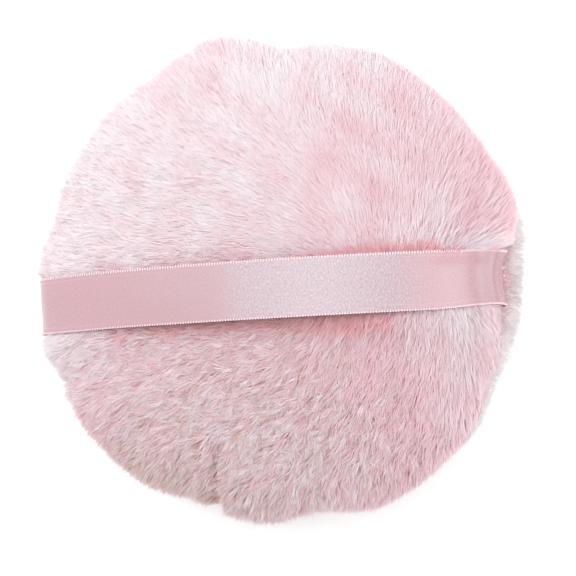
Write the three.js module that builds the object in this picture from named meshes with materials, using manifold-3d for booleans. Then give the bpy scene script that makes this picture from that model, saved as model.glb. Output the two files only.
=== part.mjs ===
// A round plush powder puff with a satin ribbon strap, in millimetres, +Z up.
// The puff lies on its powder face, with the ribbon on top, running along X.
import * as THREE from "three";
import { mergeVertices } from "three/addons/utils/BufferGeometryUtils.js";
import Module from "manifold-3d";

const wasm = await Module();
wasm.setup();

// Plush covers, measured to the face of the pile when a finger rests on it
const RIM_RADIUS = 51; // from the puff's axis to the outside of its rim
const ROLL_RADIUS = 5.5; // rounding of each cover's rim
const ROLL_TURN = 55; // degrees that a rim curls from its widest point to its face
const CREASE_DEPTH = 3; // how far the seam draws the rim in
const CROWN_RISE = 4.9; // middle of the ribbon side above the end of its rim's curl
const FOOT_DROP = 5.6; // flat of the powder side below the end of its rim's curl
const FOOT_RADIUS = 33; // flat that the puff rests on
const FACE_WALL = 5; // backing and pile across a face
const RIM_WALL = 7.5; // backing and pile at the rim
const CAVITY_CORNER = 6; // rounding inside the covers, where face meets rim

// Seam round the rim
const SEAM_ALLOWANCE = 5.5; // cloth that is turned in past the seam
const ALLOWANCE_THICKNESS = 1.2;
const THREAD_DIAMETER = 0.6;
const STITCH_INSET = 1.2; // from the turned edge to the middle of the stitch line
const CLOSING_LENGTH = 34; // opening left for turning and filling, along the seam
const CLOSING_BEARING = -107; // degrees from +X to the middle of that opening

// Satin ribbon
const RIBBON_WIDTH = 12;
const RIBBON_THICKNESS = 0.6;
const RIBBON_OFFSET = -3.2; // ribbon's middle line along Y, sewn a little off the puff's middle
const TAIL_SETBACK = 0.5; // raw end of the ribbon, short of the allowance's edge
const EXIT_TURN = 9; // degrees of the rim's curl that the ribbon takes to leave the seam
const FINGER_GAP = 4.8; // under the ribbon's middle, at rest

// Space between two pieces that touch
const CLEARANCE = 0.3;

// Steps along the round stretches
const RING_STEPS = 40;
const ARC_STEPS = 4;
const END_STEPS = 28;
const STRAP_STEPS = 44;
const STITCH_STEPS = 20;
const THREAD_SIDES = 6;

// Shared places, with heights measured from the seam's plane
const turn = THREE.MathUtils.degToRad(ROLL_TURN);
const rollX = RIM_RADIUS - ROLL_RADIUS;
const rollZ = Math.sqrt(ROLL_RADIUS ** 2 - (ROLL_RADIUS - CREASE_DEPTH) ** 2);
const rollEnd = rollZ + ROLL_RADIUS * Math.sin(turn);
const crown = rollEnd + CROWN_RISE;
const foot = rollEnd + FOOT_DROP;
const cavityRadius = RIM_RADIUS - RIM_WALL;
const allowanceRadius = cavityRadius - SEAM_ALLOWANCE;
const allowanceTop = CLEARANCE / 2 + ALLOWANCE_THICKNESS;
const threadHeight = allowanceTop + CLEARANCE + THREAD_DIAMETER / 2;
const ribbonRoll = ROLL_RADIUS + CLEARANCE + RIBBON_THICKNESS / 2;

// Radius at which the crease between the two rims is twice halfWidth wide
function creaseRadius(halfWidth) {
  return rollX + Math.sqrt(ROLL_RADIUS ** 2 - (rollZ - halfWidth) ** 2);
}

// A flat outline, drawn in the plane of two axes, that a section can follow
class PlanePath extends THREE.Curve {
  constructor(outline, across, up) {
    super();
    this.outline = outline;
    this.across = across;
    this.up = up;
  }

  getPoint(t) {
    const { x, y } = this.outline.getPoint(t);
    return new THREE.Vector3().addScaledVector(this.across, x).addScaledVector(this.up, y);
  }

  // The section's own x stays square to the plane, so a strip never twists.
  computeFrenetFrames(steps) {
    const square = this.across.clone().cross(this.up);
    const frames = { tangents: [], normals: [], binormals: [] };
    for (let i = 0; i <= steps; i += 1) {
      const tangent = this.getTangentAt(i / steps);
      frames.tangents.push(tangent);
      frames.normals.push(square.clone());
      frames.binormals.push(tangent.clone().cross(square));
    }
    return frames;
  }
}

// Turns an outline of radius and height about Z
function turned(points) {
  return new THREE.LatheGeometry(points, RING_STEPS).rotateX(Math.PI / 2);
}

// Sweeps a flat section along a path
function swept(section, path, steps) {
  return new THREE.ExtrudeGeometry(section, { extrudePath: path, steps, curveSegments: 1 });
}

// A closed geometry as a solid that can be cut
function solid(geometry) {
  const bare = new THREE.BufferGeometry();
  bare.setAttribute("position", geometry.getAttribute("position"));
  bare.setIndex(geometry.getIndex());
  const merged = mergeVertices(bare, 1e-4);
  return new wasm.Manifold(
    new wasm.Mesh({
      numProp: 3,
      vertProperties: new Float32Array(merged.getAttribute("position").array),
      triVerts: new Uint32Array(merged.getIndex().array),
    }),
  );
}

// A geometry with other geometries cut out of it
function cut(geometry, tools) {
  const left = tools.reduce((body, tool) => body.subtract(solid(tool)), solid(geometry));
  const { vertProperties, triVerts } = left.getMesh();
  const result = new THREE.BufferGeometry();
  result.setAttribute("position", new THREE.BufferAttribute(vertProperties, 3));
  result.setIndex(new THREE.BufferAttribute(triVerts, 1));
  result.computeVertexNormals();
  return result;
}

// Section of a cover above the seam: cavity, turned-in allowance, rolled rim and face
function coverOutline(rise, flatRadius) {
  const face = rollEnd + rise;
  const inside = face - FACE_WALL;
  const seam = CLEARANCE / 2;
  const outline = new THREE.Path();
  outline.moveTo(0, inside);
  outline.lineTo(cavityRadius - CAVITY_CORNER, inside);
  outline.absarc(
    cavityRadius - CAVITY_CORNER,
    inside - CAVITY_CORNER,
    CAVITY_CORNER,
    Math.PI / 2,
    0,
    true,
  );
  outline.lineTo(cavityRadius, allowanceTop);
  outline.lineTo(allowanceRadius, allowanceTop);
  outline.lineTo(allowanceRadius, seam);
  const start = Math.asin((seam - rollZ) / ROLL_RADIUS);
  outline.absarc(rollX, rollZ, ROLL_RADIUS, start, turn, false);
  const endX = rollX + ROLL_RADIUS * Math.cos(turn);
  outline.quadraticCurveTo(endX - rise * Math.tan(turn), face, flatRadius, face);
  outline.lineTo(0, face);
  return outline.getPoints(ARC_STEPS);
}

// The same section below the seam, listed the other way round so that it still faces out
function belowSeam(points) {
  return points.map((p) => new THREE.Vector2(p.x, -p.y)).reverse();
}

// The slots in the seam that the ribbon's two ends go through
function ribbonSlots() {
  const inner = allowanceRadius - CLEARANCE;
  const outer = creaseRadius(RIBBON_THICKNESS / 2 + CLEARANCE);
  return [-1, 1].map((side) =>
    new THREE.BoxGeometry(
      outer - inner,
      RIBBON_WIDTH + 2 * CLEARANCE,
      RIBBON_THICKNESS + 2 * CLEARANCE,
    ).translate((side * (inner + outer)) / 2, RIBBON_OFFSET, 0),
  );
}

// Fibre wadding that fills the cavity, with a groove that takes the seam's allowances
function fillGeometry() {
  const radius = cavityRadius - CLEARANCE;
  const corner = CAVITY_CORNER - CLEARANCE;
  const cornerX = cavityRadius - CAVITY_CORNER;
  const low = foot - FACE_WALL - CAVITY_CORNER;
  const high = crown - FACE_WALL - CAVITY_CORNER;
  const groove = threadHeight + THREAD_DIAMETER / 2 + CLEARANCE;
  const grooveRadius = allowanceRadius - CLEARANCE;
  const outline = new THREE.Path();
  outline.moveTo(0, -low - corner);
  outline.lineTo(cornerX, -low - corner);
  outline.absarc(cornerX, -low, corner, -Math.PI / 2, 0, false);
  outline.lineTo(radius, -groove);
  outline.lineTo(grooveRadius, -groove);
  outline.lineTo(grooveRadius, groove);
  outline.lineTo(radius, groove);
  outline.absarc(cornerX, high, corner, 0, Math.PI / 2, false);
  outline.lineTo(0, high + corner);
  return turned(outline.getPoints(ARC_STEPS));
}

// One thread of the machine seam, lying on its allowance
function seamThreadGeometry(height) {
  const ring = new THREE.Path();
  ring.absarc(cavityRadius - STITCH_INSET, height, THREAD_DIAMETER / 2, 0, 2 * Math.PI, false);
  const points = ring.getPoints(THREAD_SIDES / 2);
  points[points.length - 1].copy(points[0]);
  return turned(points);
}

// The hand stitch that closes the turning gap, lying in the crease
function closingGeometry() {
  const radius = creaseRadius(THREAD_DIAMETER / 2 + CLEARANCE);
  const middle = THREE.MathUtils.degToRad(CLOSING_BEARING);
  const half = CLOSING_LENGTH / radius / 2;
  const route = new THREE.Path().absarc(0, 0, radius, middle - half, middle + half, false);
  const path = new PlanePath(route, new THREE.Vector3(1, 0, 0), new THREE.Vector3(0, 1, 0));
  const corners = Array.from({ length: THREAD_SIDES }, (_, i) => {
    const angle = (2 * Math.PI * i) / THREAD_SIDES;
    return new THREE.Vector2(Math.cos(angle), Math.sin(angle)).multiplyScalar(THREAD_DIAMETER / 2);
  });
  return swept(new THREE.Shape(corners), path, STITCH_STEPS);
}

// A stretch of ribbon along a route in the XZ plane
function ribbonGeometry(route, steps) {
  const w = RIBBON_WIDTH / 2;
  const t = RIBBON_THICKNESS / 2;
  const section = new THREE.Shape();
  section.moveTo(-w, -t).lineTo(w, -t).lineTo(w, t).lineTo(-w, t).closePath();
  const path = new PlanePath(route, new THREE.Vector3(1, 0, 0), new THREE.Vector3(0, 0, 1));
  return swept(section, path, steps);
}

// Sewn end of the ribbon: from inside the seam, out of the crease and up round the rim
function ribbonEndGeometry() {
  const atSeam = Math.asin(-rollZ / ribbonRoll);
  const from = atSeam + THREE.MathUtils.degToRad(EXIT_TURN);
  const to = turn - CLEARANCE / ribbonRoll;
  const exitX = rollX + ribbonRoll * Math.cos(from);
  const exitZ = rollZ + ribbonRoll * Math.sin(from);
  const reach = exitZ / Math.cos(from);
  const bendX = exitX + reach * Math.sin(from);
  const route = new THREE.Path();
  route.moveTo(allowanceRadius + TAIL_SETBACK, 0);
  route.lineTo(bendX - reach, 0);
  route.quadraticCurveTo(bendX, 0, exitX, exitZ);
  route.absarc(rollX, rollZ, ribbonRoll, from, to, false);
  return ribbonGeometry(route, END_STEPS);
}

// Free arch of the ribbon, from one rim to the other
function ribbonStrapGeometry() {
  const leaveX = rollX + ribbonRoll * Math.cos(turn);
  const leaveZ = rollZ + ribbonRoll * Math.sin(turn);
  const top = crown + FINGER_GAP + RIBBON_THICKNESS / 2;
  const bendX = leaveX - (top - leaveZ) * Math.tan(turn);
  const route = new THREE.Path();
  route.moveTo(-leaveX, leaveZ);
  route.quadraticCurveTo(-bendX, top, 0, top);
  route.quadraticCurveTo(bendX, top, leaveX, leaveZ);
  return ribbonGeometry(route, STRAP_STEPS);
}

// A named mesh with a finish of its own
function piece(name, geometry, color, roughness) {
  const material = new THREE.MeshStandardMaterial({ color, roughness, metalness: 0 });
  const mesh = new THREE.Mesh(geometry, material);
  mesh.name = name;
  return mesh;
}

const PLUSH_PINK = 0xf3dfe3;
const PLUSH_CREAM = 0xf8efec;
const WADDING_WHITE = 0xf7f5f2;
const SATIN_PINK = 0xe2bcc2;
const THREAD_PINK = 0xf0d6da;

const slots = ribbonSlots();
const backCover = cut(turned(coverOutline(CROWN_RISE, 0)), slots);
const frontCover = cut(turned(belowSeam(coverOutline(FOOT_DROP, FOOT_RADIUS))), slots);
const ribbonEnd = ribbonEndGeometry();

const leftEnd = piece("ribbon_left_end", ribbonEnd, SATIN_PINK, 0.45);
leftEnd.rotation.z = Math.PI;

const ribbon = new THREE.Group();
ribbon.add(
  piece("ribbon_right_end", ribbonEnd, SATIN_PINK, 0.45),
  leftEnd,
  piece("ribbon_strap", ribbonStrapGeometry(), SATIN_PINK, 0.45),
);
ribbon.position.y = RIBBON_OFFSET;

const puff = new THREE.Group();
puff.add(
  piece("back_cover", backCover, PLUSH_PINK, 0.95),
  piece("front_cover", frontCover, PLUSH_CREAM, 0.95),
  piece("fill_pad", fillGeometry(), WADDING_WHITE, 0.95),
  piece("seam_needle_thread", seamThreadGeometry(threadHeight), THREAD_PINK, 0.7),
  piece("seam_bobbin_thread", seamThreadGeometry(-threadHeight), THREAD_PINK, 0.7),
  piece("closing_stitch", closingGeometry(), THREAD_PINK, 0.7),
  ribbon,
);
puff.position.z = foot;

const part = new THREE.Group();
part.add(puff);

export default part;
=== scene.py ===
"""Looks of a plush powder puff with a satin ribbon strap, in metres, +Z up.

The puff lies on its powder face, with the ribbon on top, running along X.
"""

import logging
import math
from dataclasses import dataclass
from enum import Enum
from typing import Any, Optional, Union

import bmesh
import bpy
import numpy as np
from mathutils import Matrix, Vector
from mathutils.kdtree import KDTree


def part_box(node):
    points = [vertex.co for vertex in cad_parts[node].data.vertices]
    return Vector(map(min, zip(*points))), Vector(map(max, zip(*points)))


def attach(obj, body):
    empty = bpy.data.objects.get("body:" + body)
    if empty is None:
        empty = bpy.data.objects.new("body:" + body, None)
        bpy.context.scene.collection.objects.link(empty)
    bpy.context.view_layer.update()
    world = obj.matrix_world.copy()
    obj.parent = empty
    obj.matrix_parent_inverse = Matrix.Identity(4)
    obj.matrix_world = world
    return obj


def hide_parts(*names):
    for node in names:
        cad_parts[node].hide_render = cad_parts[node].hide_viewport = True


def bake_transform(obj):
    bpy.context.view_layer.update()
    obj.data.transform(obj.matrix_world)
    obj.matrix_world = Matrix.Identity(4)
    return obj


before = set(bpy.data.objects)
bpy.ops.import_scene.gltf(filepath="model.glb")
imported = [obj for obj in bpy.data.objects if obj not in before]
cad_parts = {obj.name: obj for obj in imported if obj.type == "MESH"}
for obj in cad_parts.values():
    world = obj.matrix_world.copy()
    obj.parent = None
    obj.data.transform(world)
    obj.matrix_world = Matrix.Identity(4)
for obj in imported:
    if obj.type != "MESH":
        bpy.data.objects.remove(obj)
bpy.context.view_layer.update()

LOG = logging.getLogger("powder_puff")
MM = 0.001
TINY = 1e-12
PHOTO_SIDE_PX = 576
SENSOR_MM = 36.0
STRAND_MAP = "strand_uv"
BAKE_MAP = "OFBake"
RIBBON_MAP = "ribbon_uv"
# Sockets of a colour Mix node, whose names its other kinds of input share.
MIX_SHARE, MIX_UNDER, MIX_OVER, MIX_RESULT = 0, 6, 7, 2

Array = np.ndarray
Material = bpy.types.Material
Mesh = bpy.types.Mesh
Shape = bmesh.types.BMesh
Tree = bpy.types.NodeTree
Node = bpy.types.Node
Socket = bpy.types.NodeSocket
Chance = np.random.Generator
Point = tuple[float, float, float]
Span = tuple[float, float]
LongSpan = tuple[float, float, float, float]


class Body(str, Enum):
    """Rigid bodies of the part."""

    PUFF = "puff"
    STRAP = "strap"


class Side(Enum):
    """The two plush covers, with the way each one faces along Z."""

    BACK = 1
    FRONT = -1


class Slot(str, Enum):
    """Material slots of the record."""

    PLUSH_BACK = "plush_back"
    PLUSH_FRONT = "plush_front"
    WADDING = "wadding"
    SATIN = "satin_ribbon"
    THREAD = "sewing_thread"


def linear(colour: str) -> tuple[float, float, float, float]:
    """Turns an sRGB hex colour to linear light.

    Args:
        colour: six hex digits with a leading hash.

    Returns:
        Red, green, blue and alpha.
    """
    parts = [int(colour[i : i + 2], 16) / 255 for i in (1, 3, 5)]
    lit = [c / 12.92 if c <= 0.04045 else ((c + 0.055) / 1.055) ** 2.4 for c in parts]
    return (*lit, 1.0)


def add_node(
    tree: Tree,
    kind: str,
    settings: Optional[dict[Any, Any]] = None,
    links: Optional[dict[Any, Union[Node, Socket]]] = None,
) -> Node:
    """Adds a shader node with its settings and its incoming links.

    Args:
        tree: the material's node tree.
        kind: the node's type name, without the ShaderNode that all of them begin with.
        settings: input values by socket name or index, attributes of the node, and under
            stops a ramp's places from 0 to 1 with their sRGB hex colours.
        links: outputs, or nodes for their first output, by the socket they feed.

    Returns:
        The new node.
    """
    node = tree.nodes.new(f"ShaderNode{kind}")
    for name, value in (settings or {}).items():
        if name == "stops":
            elements = node.color_ramp.elements
            while len(elements) < len(value):
                elements.new(0.5)
            for element, (place, colour) in zip(elements, value):
                element.position = place
                element.color = linear(colour)
        elif isinstance(name, int) or name in node.inputs:
            node.inputs[name].default_value = value
        else:
            setattr(node, name, value)
    for name, source in (links or {}).items():
        output = source.outputs[0] if isinstance(source, Node) else source
        tree.links.new(output, node.inputs[name])
    return node


def blank_material(name: str) -> tuple[Material, Tree]:
    """Makes a material with an empty node tree.

    Args:
        name: what the material is.

    Returns:
        The material and its tree.
    """
    material = bpy.data.materials.new(name)
    material.use_nodes = True
    material.node_tree.nodes.clear()
    return material, material.node_tree


def close_material(tree: Tree, shader: Node) -> None:
    """Feeds a finished shader to the material's output."""
    add_node(tree, "OutputMaterial", links={"Surface": shader})


def textured_material(
    name: str,
    texture: tuple[str, str, dict[str, Any]],
    stops: list[tuple[float, str]],
    surface: dict[str, Any],
    relief: Optional[dict[str, Any]] = None,
) -> Material:
    """Makes a material whose one texture, on Object coordinates, gives colour and relief.

    Args:
        name: what the material is.
        texture: the texture's type name, the output that is read, and its settings.
        stops: the colours over the texture's range.
        surface: the shader's settings.
        relief: the bump's settings, or None where the surface is flat.

    Returns:
        The material.
    """
    material, tree = blank_material(name)
    kind, output, pattern = texture
    place = add_node(tree, "TexCoord")
    grain = add_node(tree, kind, pattern, {"Vector": place.outputs["Object"]}).outputs[output]
    links = {"Base Color": add_node(tree, "ValToRGB", {"stops": stops}, {"Fac": grain})}
    if relief is not None:
        links["Normal"] = add_node(tree, "Bump", relief, {"Height": grain})
    close_material(tree, add_node(tree, "BsdfPrincipled", surface, links))
    return material


@dataclass(frozen=True)
class PlushPile:
    """Acrylic pile, cut and brushed.

    Fine soft fibres, pale at their tips and painted pinker towards the backing, as painted
    shade where light has bounced between them. Strands run from rosy through grey and pink
    to pale, and each of these has its colours at the root, the middle and the tip. Rosy is
    laid where the ribbon's shade falls, as painted pink shade, and grey is partly the pile's
    greyer pink and partly painted shade, laid on the lower half where less light falls.
    """

    name: str
    rosy: tuple[str, str, str]
    grey_and_painted_shade: tuple[str, str, str]
    pink: tuple[str, str, str]
    pale: tuple[str, str, str]

    def make(self) -> Material:
        """Makes the material, whose colour runs along each strand.

        Returns:
            The material.
        """
        material, tree = blank_material(self.name)
        place = add_node(tree, "UVMap", {"uv_map": STRAND_MAP})
        split = add_node(tree, "SeparateXYZ", links={0: place})
        tint, along = split.outputs["X"], split.outputs["Y"]
        ramps = []
        for shades in (self.rosy, self.grey_and_painted_shade, self.pink, self.pale):
            stops = list(zip((0.0, 0.5, 1.0), shades))
            ramps.append(add_node(tree, "ValToRGB", {"stops": stops}, {"Fac": along}).outputs[0])
        colour, steps = ramps[0], len(ramps) - 1
        for step, shade in enumerate(ramps[1:]):
            span = {"From Min": step / steps, "From Max": (step + 1) / steps}
            share = add_node(tree, "MapRange", span, {"Value": tint})
            sources = {MIX_SHARE: share, MIX_UNDER: colour, MIX_OVER: shade}
            colour = add_node(tree, "Mix", {"data_type": "RGBA"}, sources).outputs[MIX_RESULT]
        surface = {
            "Roughness": 0.6,
            "Specular IOR Level": 0.35,
            "Sheen Weight": 0.25,
            "Sheen Roughness": 0.5,
            "Sheen Tint": linear("#fff4f6"),
        }
        close_material(tree, add_node(tree, "BsdfPrincipled", surface, {"Base Color": colour}))
        return material


@dataclass(frozen=True)
class KnitBacking:
    """Knitted polyester backing cloth.

    Matt, with small rows of loops, in the pink that shows where the pile parts.
    """

    name: str
    colour: str
    shade: str
    loop: float = 0.9 * MM
    relief: float = 0.3 * MM

    def make(self) -> Material:
        """Makes the material, with rows of loops.

        Returns:
            The material.
        """
        return textured_material(
            self.name,
            ("TexVoronoi", "Distance", {"Scale": 1 / self.loop, "Randomness": 0.35}),
            [(0.0, self.colour), (0.7, self.shade)],
            {"Roughness": 0.9, "Specular IOR Level": 0.2, "Sheen Weight": 0.2},
            {"Strength": 0.5, "Distance": self.relief, "invert": True},
        )


@dataclass(frozen=True)
class FibreWadding:
    """Loose polyester fibre, carded into a pad.

    White, cloudy and matt, with tangled fibres. Real ones are too fine to show, so they are
    drawn coarser than life, a few to a tangle.
    """

    name: str = "polyester_fibre_wadding"
    fibre: float = 0.6 * MM
    fibres_across: int = 4

    def make(self) -> Material:
        """Makes the material, with tangled fibres.

        Returns:
            The material.
        """
        scale = 1 / (self.fibre * self.fibres_across)
        tangle = {"Scale": scale, "Detail": 8.0, "Roughness": 0.7, "Distortion": 2.0}
        return textured_material(
            self.name,
            ("TexNoise", "Fac", tangle),
            [(0.3, "#dcd9d4"), (0.7, "#fbfaf7")],
            {"Roughness": 0.95, "Specular IOR Level": 0.15, "Sheen Weight": 0.4},
            {"Strength": 0.7, "Distance": self.fibre},
        )


@dataclass(frozen=True)
class SpunThread:
    """Spun polyester sewing thread.

    Slightly lustrous, with a twist that shows as fine slanting lines.
    """

    name: str = "spun_polyester_thread"
    colour: str = "#f6e3e6"
    shade: str = "#ecd0d5"
    twist: float = 0.5 * MM
    relief: float = 0.1 * MM
    # A wave texture of scale 1 has about this many metres between its bands.
    wave_length: float = 0.3

    def make(self) -> Material:
        """Makes the material, with a slanting twist.

        Returns:
            The material.
        """
        scale = self.wave_length / self.twist
        twist = {"bands_direction": "DIAGONAL", "Scale": scale, "Distortion": 0.6}
        return textured_material(
            self.name,
            ("TexWave", "Fac", twist),
            [(0.2, self.shade), (0.8, self.colour)],
            {"Roughness": 0.55, "Sheen Weight": 0.2},
            {"Strength": 0.5, "Distance": self.relief},
        )


@dataclass(frozen=True)
class PaperSweep:
    """Matt white paper laid as a studio floor. Even and bright, with a faint tooth."""

    name: str = "matt_white_paper"
    tooth: float = 3 * MM

    def make(self) -> Material:
        """Makes the material, with a faint tooth.

        Returns:
            The material.
        """
        return textured_material(
            self.name,
            ("TexNoise", "Fac", {"Scale": 1 / self.tooth, "Detail": 3.0}),
            [(0.0, "#f9f9f9"), (1.0, "#fefefe")],
            {"Roughness": 0.9, "Specular IOR Level": 0.1},
        )


@dataclass(frozen=True)
class PolyesterSatin:
    """Woven polyester satin ribbon.

    A smooth face of long floats that glints in grains under the light, greyish pink, with one
    tight line inside each edge. Its middle is painted paler as a painted highlight, with grains
    painted light and dark as painted glints, and painted shade darkens the stretch up to the
    middle and the right end where it turns over the rim.
    Real threads are too fine to show, so the grain is drawn coarser than life. Stretches
    are in shares of the ribbon's length.
    """

    name: str
    width: float
    length: float
    colours: tuple[str, str] = ("#b48e94", "#bb959b")
    # Light and dark grains of the painted highlight, painted glints among them.
    painted_highlight_colours: tuple[str, str] = ("#997c83", "#bda2a9")
    weave_range: Span = (0.35, 0.65)
    edge_colour: str = "#be989e"
    # Painted shade where the right end turns over the rim: its colour and where it sets in.
    painted_turn_shade: str = "#a2747b"
    turned: Span = (0.79, 0.85)
    # Painted shade up to the middle: its colour, and where it rises, is full, fades and ends.
    painted_shade_colour: str = "#af8a90"
    shade: LongSpan = (0.19, 0.42, 0.5, 0.56)
    grain: Span = (0.55 * MM, 0.3 * MM)
    relief: float = 0.06 * MM
    # Where the painted highlight rises, is full, fades and ends, and how ragged its edge is.
    painted_highlight: LongSpan = (0.43, 0.485, 0.665, 0.74)
    painted_highlight_blur: float = 0.08
    line_inset: float = 1.1 * MM
    line_width: float = 0.25 * MM

    def stretch(self, tree: Tree, along: Socket, span: LongSpan) -> Node:
        """Marks a stretch of the ribbon.

        Args:
            tree: the material's node tree.
            along: the share of the ribbon's length.
            span: where the stretch begins, is full, fades and ends.

        Returns:
            The node that gives 1 inside the stretch and 0 outside.
        """
        start, full, fade, end = span
        ease = {"interpolation_type": "SMOOTHSTEP"}
        rise = {**ease, "From Min": start, "From Max": full}
        fall = {**ease, "From Min": end, "From Max": fade, "To Min": 0.0}
        near = add_node(tree, "MapRange", rise, {"Value": along})
        return add_node(tree, "MapRange", fall, {"Value": along, "To Max": near})

    def face_colour(self, tree: Tree, place: Node, real: Node, weave: Node) -> Socket:
        """Lays the edge lines, painted shade and a painted highlight over the weave.

        Args:
            tree: the material's node tree.
            place: the ribbon's map.
            real: the same in metres.
            weave: the grain.

        Returns:
            The colour.
        """
        across = add_node(tree, "SeparateXYZ", links={0: real}).outputs["X"]
        middle = {"operation": "SUBTRACT", 1: self.width / 2}
        off = add_node(tree, "Math", middle, {0: across})
        apart = add_node(tree, "Math", {"operation": "ABSOLUTE"}, {0: off})
        inside = self.width / 2 - self.line_inset
        tight = {"operation": "COMPARE", 1: inside, 2: self.line_width / 2}
        line = add_node(tree, "Math", tight, {0: apart})
        along = add_node(tree, "SeparateXYZ", links={0: place}).outputs["Y"]
        # The painted highlight in the middle gets a ragged edge and painted glints from the grain.
        blur = {"operation": "MULTIPLY_ADD", 1: self.painted_highlight_blur}
        ragged = add_node(tree, "Math", blur, {0: weave, 2: along}).outputs[0]
        painted_highlight_span = tuple(v + self.painted_highlight_blur / 2 for v in self.painted_highlight)
        # The right end is painted darker where it turns over the rim, as painted shade.
        start, end = self.turned
        over_rim = {"interpolation_type": "SMOOTHSTEP", "From Min": start, "From Max": end}
        turn = add_node(tree, "MapRange", over_rim, {"Value": along})
        # The stretch up to the middle is painted darker, as painted shade.
        painted_shade = self.stretch(tree, along, self.shade)
        painted_highlight = self.stretch(tree, ragged, painted_highlight_span)
        plain, painted_highlight_ramp = (
            add_node(
                tree, "ValToRGB", {"stops": list(zip(self.weave_range, shades))}, {"Fac": weave}
            )
            for shades in (self.colours, self.painted_highlight_colours)
        )
        colour = plain.outputs[0]
        layers = (
            (line, self.edge_colour),
            (painted_shade, self.painted_shade_colour),
            (turn, self.painted_turn_shade),
        )
        for share, over in layers:
            tint = {"data_type": "RGBA", MIX_OVER: linear(over)}
            sources = {MIX_SHARE: share, MIX_UNDER: colour}
            colour = add_node(tree, "Mix", tint, sources).outputs[MIX_RESULT]
        sources = {MIX_SHARE: painted_highlight, MIX_UNDER: colour, MIX_OVER: painted_highlight_ramp}
        return add_node(tree, "Mix", {"data_type": "RGBA"}, sources).outputs[MIX_RESULT]

    def make(self) -> Material:
        """Makes the material, on the ribbon's own map: u across its width, v along it.

        Returns:
            The material.
        """
        material, tree = blank_material(self.name)
        place = add_node(tree, "UVMap", {"uv_map": RIBBON_MAP})
        size = {"operation": "MULTIPLY", 1: (self.width, self.length, 0.0)}
        real = add_node(tree, "VectorMath", size, {0: place})
        pitch = {"operation": "DIVIDE", 1: (*self.grain, 1.0)}
        threads = add_node(tree, "VectorMath", pitch, {0: real})
        noise = {"Scale": 1.0, "Detail": 3.0, "Roughness": 0.65}
        weave = add_node(tree, "TexNoise", noise, {"Vector": threads})
        gloss = {"To Min": 0.16, "To Max": 0.36}
        relief = {"Strength": 0.35, "Distance": self.relief}
        surface = {
            "Specular IOR Level": 1.0,
            "Specular Tint": linear("#d6f0f4"),
            "Anisotropic": 0.3,
            "Sheen Weight": 0.2,
            "Sheen Roughness": 0.4,
            "Sheen Tint": linear("#ffeef1"),
        }
        links = {
            "Base Color": self.face_colour(tree, place, real, weave),
            "Roughness": add_node(tree, "MapRange", gloss, {"Value": weave}),
            "Normal": add_node(tree, "Bump", relief, {"Height": weave}),
        }
        close_material(tree, add_node(tree, "BsdfPrincipled", surface, links))
        return material


def finish_piece(
    mesh: Mesh,
    name: str,
    material: Material,
    body: Optional[Body] = Body.PUFF,
) -> bpy.types.Object:
    """Puts a mesh in the scene as a piece of the part.

    Args:
        mesh: the finished mesh, in its place.
        name: the piece's name.
        material: its finish.
        body: the body that it rides on, or None to put it on no body.

    Returns:
        The new object.
    """
    mesh.name = name
    mesh.materials.clear()
    mesh.materials.append(material)
    piece = bpy.data.objects.new(name, mesh)
    bpy.context.scene.collection.objects.link(piece)
    mesh.shade_smooth()
    if body is not None:
        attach(piece, body.value)
    LOG.info("%s: %d faces", name, len(mesh.polygons))
    return piece


def mesh_from(shape: Shape, name: str) -> Mesh:
    """Writes a bmesh to a new mesh and frees it.

    Args:
        shape: the bmesh, which is used up.
        name: the mesh's name.

    Returns:
        The mesh.
    """
    mesh = bpy.data.meshes.new(name)
    shape.to_mesh(mesh)
    shape.free()
    return mesh


def points_of(mesh: Mesh) -> Array:
    """Reads a mesh's vertices.

    Args:
        mesh: the mesh.

    Returns:
        Rows of x, y and z.
    """
    flat = np.empty(len(mesh.vertices) * 3, np.float32)
    mesh.vertices.foreach_get("co", flat)
    return flat.reshape(-1, 3).astype(float)


def in_order(mesh: Mesh) -> Mesh:
    """Lists a mesh's faces anew by their corners, so that every run treats them alike.

    Args:
        mesh: the mesh, which is used up.

    Returns:
        The same surface as a new mesh.
    """
    faces = []
    for face in mesh.polygons:
        corners = list(face.vertices)
        first = corners.index(min(corners))
        faces.append(corners[first:] + corners[:first])
    points, name = points_of(mesh).tolist(), mesh.name
    bpy.data.meshes.remove(mesh)
    fresh = bpy.data.meshes.new(name)
    fresh.from_pydata(points, [], sorted(faces))
    return fresh


def move_points(mesh: Mesh, points: Array) -> None:
    """Puts a mesh's vertices at new places."""
    mesh.vertices.foreach_set("co", points.astype(np.float32).ravel())
    mesh.update()


def smooth_step(low: Union[float, Array], high: Union[float, Array], value: Array) -> Array:
    """Eases from 0, where a value is low, to 1, where it is high."""
    share = np.clip((value - low) / (high - low), 0, 1)
    return share * share * (3 - 2 * share)


def plateau(span: LongSpan, value: Array) -> Array:
    """Eases from 0 to 1 over a span's first two places, and back over its last two."""
    return smooth_step(*span[:2], value) * (1 - smooth_step(*span[2:], value))


def unit(rows: Array) -> Array:
    """Scales each row to length one."""
    return rows / np.maximum(np.linalg.norm(rows, axis=-1, keepdims=True), TINY)


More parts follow.
